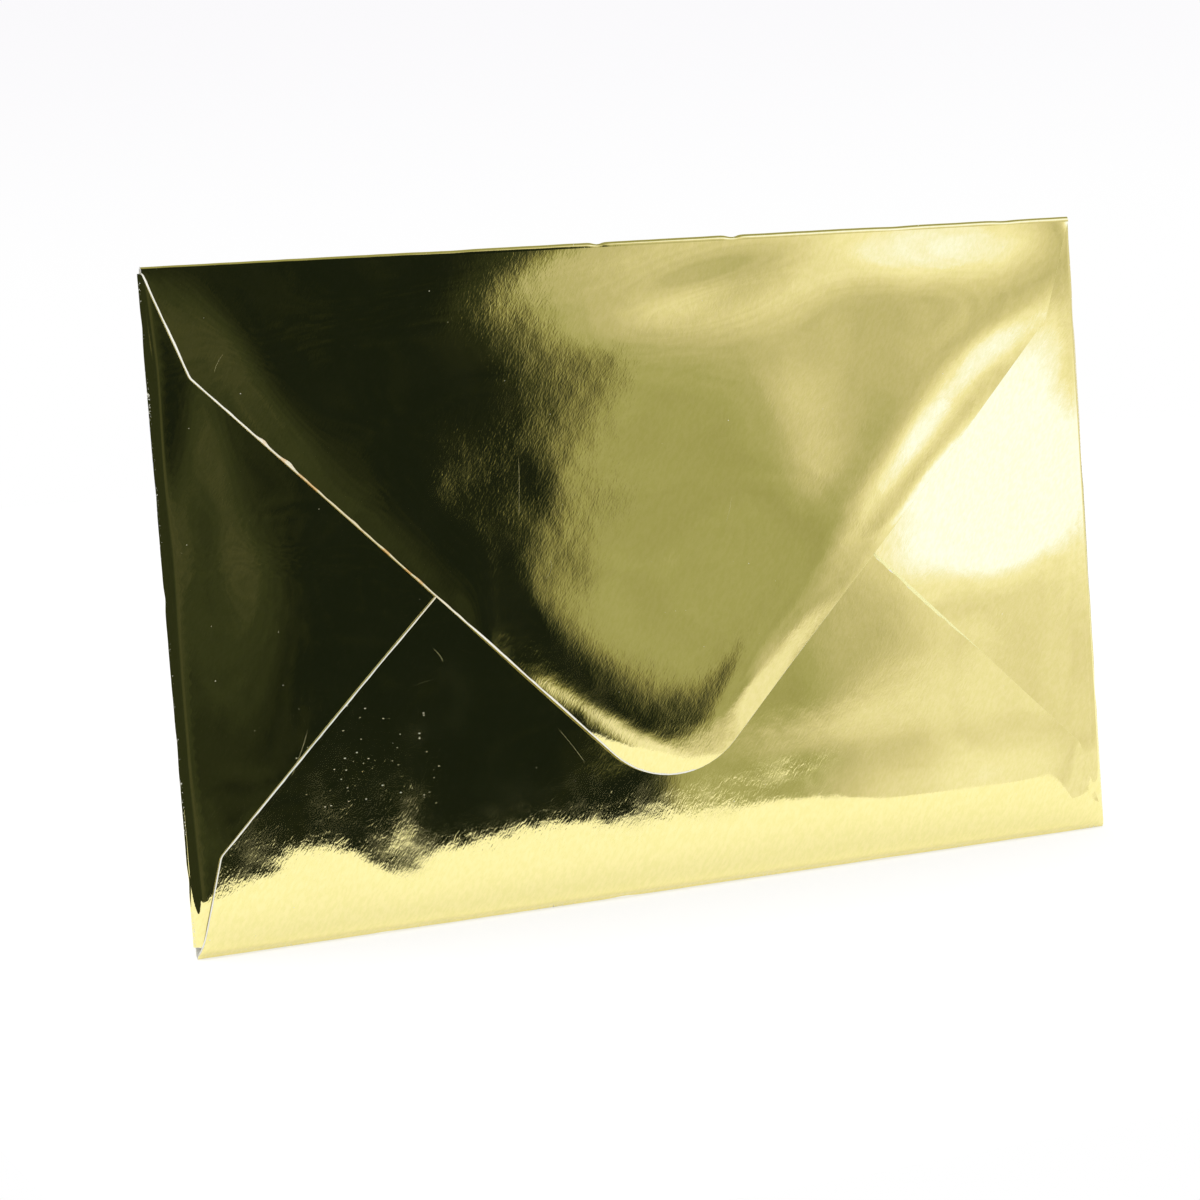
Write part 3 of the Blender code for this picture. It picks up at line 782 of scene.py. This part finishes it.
def edge_curl(x, z):
    """How far the cut edge near the tip curls in towards the pocket, in metres."""
    x, z = np.asarray(x, float) / MM, np.asarray(z, float) / MM
    gap = np.full(x.shape, 1e9)
    for (ax, az), (bx, bz) in zip(rim_line[:-1], rim_line[1:]):
        length = (bx - ax) ** 2 + (bz - az) ** 2
        share = np.clip(((x - ax) * (bx - ax) + (z - az) * (bz - az)) / length, 0, 1)
        gap = np.minimum(gap, np.hypot(x - ax - share * (bx - ax), z - az - share * (bz - az)))
    curl = 0
    for side, depth, width, start, fade in CURLS:
        here = 1 / (1 + np.exp(-side * (x - CURLS_MEET) / CURLS_BLEND)) / (1 + np.exp((z - start) / fade))
        curl = curl + here * depth * np.maximum(0, 1 - gap / width) ** 2
    return curl * MM


def seal_surface(x, z):
    return seal_plane - seal_relief(x, z) + edge_curl(x, z)


def near_top_fold(x, z):
    return z > top_line - HINGE_GAP - 0.2 * MM


# Chips along the left edge: x, z, half width and depth, in millimetres
CHIPS = [(-70.2, 81.6, 0.7, 0.22), (-64.6, 77.2, 0.5, 0.30), (-60.6, 74.0, 0.8, 0.34), (-50.5, 64.4, 0.6, 0.20)]


def seal_wear(x, z):
    """How far the film is worn back from the flap's cut edge."""
    return np.where(x < 3 * MM, 0.24, 0.04) * MM


worn = trimmed(seal_outline, seal_wear, 19, near_top_fold, CHIPS)
laminated("seal_flap", "seal_flap_film", seal_outline, worn, seal_surface, -1, "flap")

GUM_MARGIN = 2.5 * MM
GUM_WIDTH = 10.0 * MM
GUM_END_DROP = 22.0 * MM
GUM_LAYER = (-PAPER / 2 - 0.035 * MM, -PAPER / 2 - 0.005 * MM)
gum_outer_z = apex_z + GUM_MARGIN / math.cos(slant)
gum_inner_z = gum_outer_z + GUM_WIDTH / math.cos(slant)
gum_end = envelope_height - GUM_END_DROP
outer_x = (gum_outer_z - gum_end) / math.tan(slant)
inner_x = (gum_inner_z - gum_end) / math.tan(slant)
gum_outline = rounded([(outer_x, gum_end, 0), (0, gum_outer_z, TIP_RADIUS - GUM_MARGIN), (-outer_x, gum_end, 0),
                       (-inner_x, gum_end, 0), (0, gum_inner_z, 2.5 * MM), (inner_x, gum_end, 0)])
gum, tree = new_material("flap_gum")
place = object_place(tree)
coat = tree.node("TexNoise", {}, {"Vector": place, "Scale": 0.6, "Detail": 3.0})
bump = tree.node("Bump", {}, {"Strength": 0.4, "Distance": 0.01 * MM, "Height": coat})
shader = tree.node("BsdfPrincipled", {}, {"Base Color": coat.between(0.3, 0.8).tint(
    (0.80, 0.78, 0.70, 1.0), (0.87, 0.86, 0.80, 1.0)), "Roughness": 0.2 + coat * 0.2, "Normal": bump})
tree.node("OutputMaterial", {}, {"Surface": shader})
strip = sheet_mesh("seal_gum_strip", gum_outline, seal_surface, -1, *GUM_LAYER)
dress(strip, gum, "flap", "flap_gum", "seal_gum")

TOP_DENTS = [(-6.4, 0.6, 0.34), (17.4, 0.7, 0.36), (-32, 3.0, 0.06), (47, 2.4, 0.08), (68, 1.4, 0.12)]
sheet, skin = crease("top_fold", fold_path(top_line, -1, seal_plane, HINGE_GAP), -FOLD_END, FOLD_END, "x", 23,
                     TOP_DENTS)
for piece, material, slot, node in ((sheet, paper, "white_paper", "top_fold"),
                                    (skin, hinge_foil, "gold_film", "top_fold_film")):
    piece.data.materials.append(material)
    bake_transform(piece)
    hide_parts(node)


# The bottom flap, folded up over both side flaps and glued to them along its slanted edges. Its cut edges show
# the white paper, where the film has worn back. Along the right seam the bared paper is wider and carries a
# painted yellow highlight.

BOTTOM_FLAP_HEIGHT = 67.0 * MM
BOTTOM_ELBOW_INSET = 4.9 * MM
BOTTOM_ELBOW_RISE = 15.4 * MM
BOTTOM_EDGE_ANGLE = math.radians(44.0)
BOTTOM_TOP_RADIUS = 10.0 * MM


def seam_height(x, overlap):
    """Height at x of a line inside the bottom flap's left edge, the overlap away from it."""
    rise = (x + half_width - BOTTOM_ELBOW_INSET) * math.tan(BOTTOM_EDGE_ANGLE)
    return BOTTOM_ELBOW_RISE + rise - overlap / math.cos(BOTTOM_EDGE_ANGLE)


elbow_x = -half_width + BOTTOM_ELBOW_INSET
top_x = elbow_x + (BOTTOM_FLAP_HEIGHT - BOTTOM_ELBOW_RISE) / math.tan(BOTTOM_EDGE_ANGLE)
corners = [(top_x, BOTTOM_FLAP_HEIGHT, BOTTOM_TOP_RADIUS), (elbow_x, BOTTOM_ELBOW_RISE, ELBOW_RADIUS),
           (-FOLD_END, base_line, 0)]
bottom_outline = rounded(corners + [(-x, z, radius) for x, z, radius in reversed(corners)])
bottom_relief = relief(1.47, [
    Swell(-76.4, 4.1, 14.7, 5.6, -0.07, 0.413),
    Swell(-46.4, 0.5, 9.0, 4.2, -0.88, 0.210),
    Swell(-25.4, 1.6, 15.4, 5.9, -0.03, 0.348),
    Swell(-1.4, 2.4, 13.0, 6.9, -0.13, 0.300),
    Swell(19.3, 5.4, 14.4, 6.8, 0.13, 0.338),
    Swell(47.1, 4.5, 17.9, 5.6, 0.04, 0.389),
    Swell(70.2, 20.4, 10.9, 8.0, 0.26, -0.271),
    Swell(-66.8, 24.6, 18.0, 8.6, 0.07, -0.279),
    Swell(-25.3, 27.8, 9.6, 8.9, 0.73, -0.295),
    Swell(2.8, 28.9, 16.2, 7.9, 0.09, -0.192),
    Swell(24.1, 28.4, 14.3, 7.9, -0.01, 0.119),
    Swell(40.3, 26.0, 11.4, 13.0, 0.02, -0.161),
    Swell(45.8, 45.9, 9.7, 8.2, 1.03, 0.097),
    Swell(-40.6, 26.5, 12.4, 9.1, -1.86, -0.329),
    Swell(-58.5, 18.7, 8.3, 3.3, -0.55, -0.011),
    Swell(-35.8, 13.3, 12.8, 5.1, -0.61, -0.032),
    Swell(-11.4, 17.1, 6.9, 3.4, 0.44, -0.022),
    Swell(28.6, 14.5, 11.0, 5.9, -0.55, 0.021),
    Swell(54.4, 11.6, 10.3, 5.4, -0.21, 0.052),
    Swell(65.8, 31.0, 8.0, 6.3, 0.21, -0.114),
    Swell(-76.7, 9.7, 6.4, 2.4, -0.23, -0.024),
    Swell(-45.0, 14.2, 2.6, 5.3, -0.49, -0.014),
    Swell(-43.9, 50.4, 7.3, 5.7, 0.21, 0.400),
    Swell(-22.4, 24.0, 5.2, 3.5, 0.28, 0.056),
    Swell(-31.1, 49.3, 7.6, 4.7, -0.55, 0.310),
    Swell(-17.2, 13.6, 4.6, 3.3, 0.03, 0.014),
    Swell(80.5, 6.5, 3.2, 4.5, 0.0, -0.600),
], side_rise=0.347, foot_rise=0.839, top_rise=17.1)


def bottom_surface(x, z):
    return bottom_plane - bottom_relief(x, z)


def bottom_wear_and_highlight_strip(x, z):
    """How far the film is worn back from the cut edge on the left and drawn back on the right, most of all along
    the upper part of the right seam, where the bared paper carries a painted yellow highlight.
    """
    right = np.interp(x, [50 * MM, 58 * MM], [0.52, 0.03])
    return np.where(x < 0, 0.18, right) * MM


def near_bottom_fold(x, z):
    return z < base_line + 0.3 * MM


worn = trimmed(bottom_outline, bottom_wear_and_highlight_strip, 17, near_bottom_fold)
laminated("bottom_flap", "bottom_flap_film", bottom_outline, worn, bottom_surface, -1, "pocket",
          [(1, base_line, 1)])

GLUE_LENGTH = 52.0 * MM
GLUE_START = 4.0 * MM
GLUE_NEAR, GLUE_FAR = 2.0 * MM, 8.0 * MM
GLUE_LAYER = (-PAPER / 2 - 0.07 * MM, -PAPER / 2 - 0.04 * MM)
glue_x = elbow_x + GLUE_START
ends = [(glue_x + math.cos(BOTTOM_EDGE_ANGLE) * d, seam_height(glue_x, inset) + math.sin(BOTTOM_EDGE_ANGLE) * d)
        for inset, d in ((GLUE_FAR, 0), (GLUE_FAR, GLUE_LENGTH), (GLUE_NEAR, GLUE_LENGTH), (GLUE_NEAR, 0))]
glue_outline = rounded([(x, z, 2.0 * MM) for x, z in ends])
glue, tree = new_material("seam_glue")
place = object_place(tree)
drag = tree.node("TexNoise", {}, {"Vector": place, "Scale": 0.8, "Detail": 3.0})
bump = tree.node("Bump", {}, {"Strength": 0.5, "Distance": 0.02 * MM, "Height": drag})
shader = tree.node("BsdfPrincipled", {}, {"Base Color": drag.between(0.3, 0.8).tint(
    (0.82, 0.79, 0.71, 1.0), (0.88, 0.86, 0.80, 1.0)), "Roughness": 0.4, "Normal": bump})
tree.node("OutputMaterial", {}, {"Surface": shader})
for side, outline in (("left", glue_outline), ("right", [(-x, z) for x, z in reversed(glue_outline)])):
    strip = sheet_mesh(side + "_seam_glue_strip", outline, bottom_surface, -1, *GLUE_LAYER)
    dress(strip, glue, "pocket", "seam_glue", side + "_seam_glue")


# The two side flaps, folded in first. Each slopes down from the top corner and runs under the bottom flap,
# whose seam is glued to it.

SIDE_TOP_ANGLE = math.radians(35.0)
SIDE_TIP_RADIUS = 9.0 * MM
SEAM_OVERLAP = 12.0 * MM
start_x = -side_line + CREASE_GAP
slope = math.tan(BOTTOM_EDGE_ANGLE)
tip_x = start_x + (SIDE_HEAD - seam_height(start_x, SEAM_OVERLAP)) / (slope + math.tan(SIDE_TOP_ANGLE))
foot_x = start_x + (SIDE_FOOT - seam_height(start_x, SEAM_OVERLAP)) / slope
left_outline = rounded([(start_x, SIDE_HEAD, 0), (start_x, SIDE_FOOT, 0), (foot_x, SIDE_FOOT, ELBOW_RADIUS),
                        (tip_x, seam_height(tip_x, SEAM_OVERLAP), SIDE_TIP_RADIUS)])
right_outline = [(-x, z) for x, z in reversed(left_outline)]

left_relief = relief(1.23, [
    Swell(-79.1, 73.4, 3.7, 11.3, -0.27, -0.741),
    Swell(-81.9, 41.2, 10.6, 16.3, 0.09, -0.993),
    Swell(-83.1, 19.7, 11.0, 7.1, 0.15, -0.794),
    Swell(-54.0, 60.3, 7.4, 14.2, -0.91, 0.761),
    Swell(-72.9, 69.0, 2.7, 10.9, 0.10, -0.244),
    Swell(-48.5, 33.1, 9.9, 8.4, 0.56, -0.542),
    Swell(-41.0, 52.3, 7.9, 3.3, -0.70, 0.318),
    Swell(-64.0, 60.2, 7.2, 3.7, -0.05, 0.375),
    Swell(-77.7, 21.5, 4.7, 4.0, 0.03, 0.137),
], side_rise=0.347, foot_rise=6.0, top_rise=17.1)
right_relief = relief(1.18, [
    Swell(75.5, 79.6, 5.8, 22.7, -0.42, -0.461),
    Swell(78.1, 51.9, 8.1, 19.2, 0.83, -0.443),
    Swell(76.9, 29.4, 20.7, 14.0, -0.39, -0.850),
    Swell(66.2, 47.0, 6.3, 8.5, 0.49, -0.280),
    Swell(79.2, 64.1, 3.6, 29.2, -0.05, -0.221),
    Swell(64.8, 47.3, 8.7, 5.7, 0.46, 0.254),
    Swell(76.0, 43.0, 50.0, 14.0, 0.0, 0.42),
], side_rise=0.347, foot_rise=6.0, top_rise=17.1)


def side_wear(x, z):
    """How far the film is worn back from a side flap's cut edge, which is the same everywhere."""
    return 0.10 * MM


def near_side_fold(x, z):
    return np.abs(x) > side_line - 0.3 * MM


# How far apart the middles of two stacked sheets lie, without glue between them and with it
STACK = PAPER / 2 + FILM_OUTER + 0.03 * MM
GLUED_STACK = STACK + 0.07 * MM
PRESSED_PAST = 0.09 * MM
HINGE_SOFTNESS = 0.35 * MM
seal_rim, bottom_rim = stepped(seal_outline, 2 * MM), stepped(bottom_outline, 2 * MM)
seal_rim = seal_rim[(seal_rim[:, 0] < -20 * MM) & ~inside(bottom_rim, *seal_rim.T) & ~near_top_fold(*seal_rim.T)]
bottom_rim = bottom_rim[(bottom_rim[:, 0] < -20 * MM) & (bottom_rim[:, 1] > 2 * MM)
                        & ~inside(np.array(seal_outline), *bottom_rim.T)]
rims = np.vstack([seal_rim, bottom_rim])
headroom = side_plane - left_relief(*rims.T) - np.concatenate([
    seal_surface(*seal_rim.T) + STACK, bottom_surface(*bottom_rim.T) + GLUED_STACK])
# Round the place where the two rims meet, the headroom levels out, so that the flap doesn't kink there
meeting = np.argmax(rims[:, 1] * (np.arange(len(rims)) >= len(seal_rim)))
near_meeting = np.exp(-((rims - rims[meeting]) ** 2).sum(-1) / (4.0 * MM) ** 2)
headroom += (headroom[meeting] + 0.04 * MM - headroom) * near_meeting


def left_surface(x, z):
    """The left flap presses up against the cut edges of the flaps that lie over it."""
    x, z = np.asarray(x, float), np.asarray(z, float)
    gap = (x[..., None] - rims[:, 0]) ** 2 + (z[..., None] - rims[:, 1]) ** 2
    weight = (gap + (2.0 * MM) ** 2) ** -2
    lift = (weight * headroom).sum(-1) / weight.sum(-1) - PRESSED_PAST
    y = side_plane - left_relief(x, z) - lift * (1 - np.exp((-side_line - x) / HINGE_SOFTNESS))
    y = np.where(inside(np.array(bottom_outline), x, z), np.maximum(y, bottom_surface(x, z) + GLUED_STACK), y)
    return np.where(inside(np.array(seal_outline), x, z), np.maximum(y, seal_surface(x, z) + STACK), y)


def right_surface(x, z):
    """The right flap lies a little higher than its relief, except along its crease."""
    return side_plane - right_relief(x, z) - 0.15 * MM * (1 - np.exp((x - side_line) / HINGE_SOFTNESS))


for side, outline, surface, seed, fold in (
        ("left", left_outline, left_surface, 11, (0, -side_line, 1)),
        ("right", right_outline, right_surface, 13, (0, side_line, -1))):
    worn = trimmed(outline, side_wear, seed, near_side_fold)
    laminated(side + "_side_flap", side + "_side_film", outline, worn, surface, -1, "pocket", [fold])
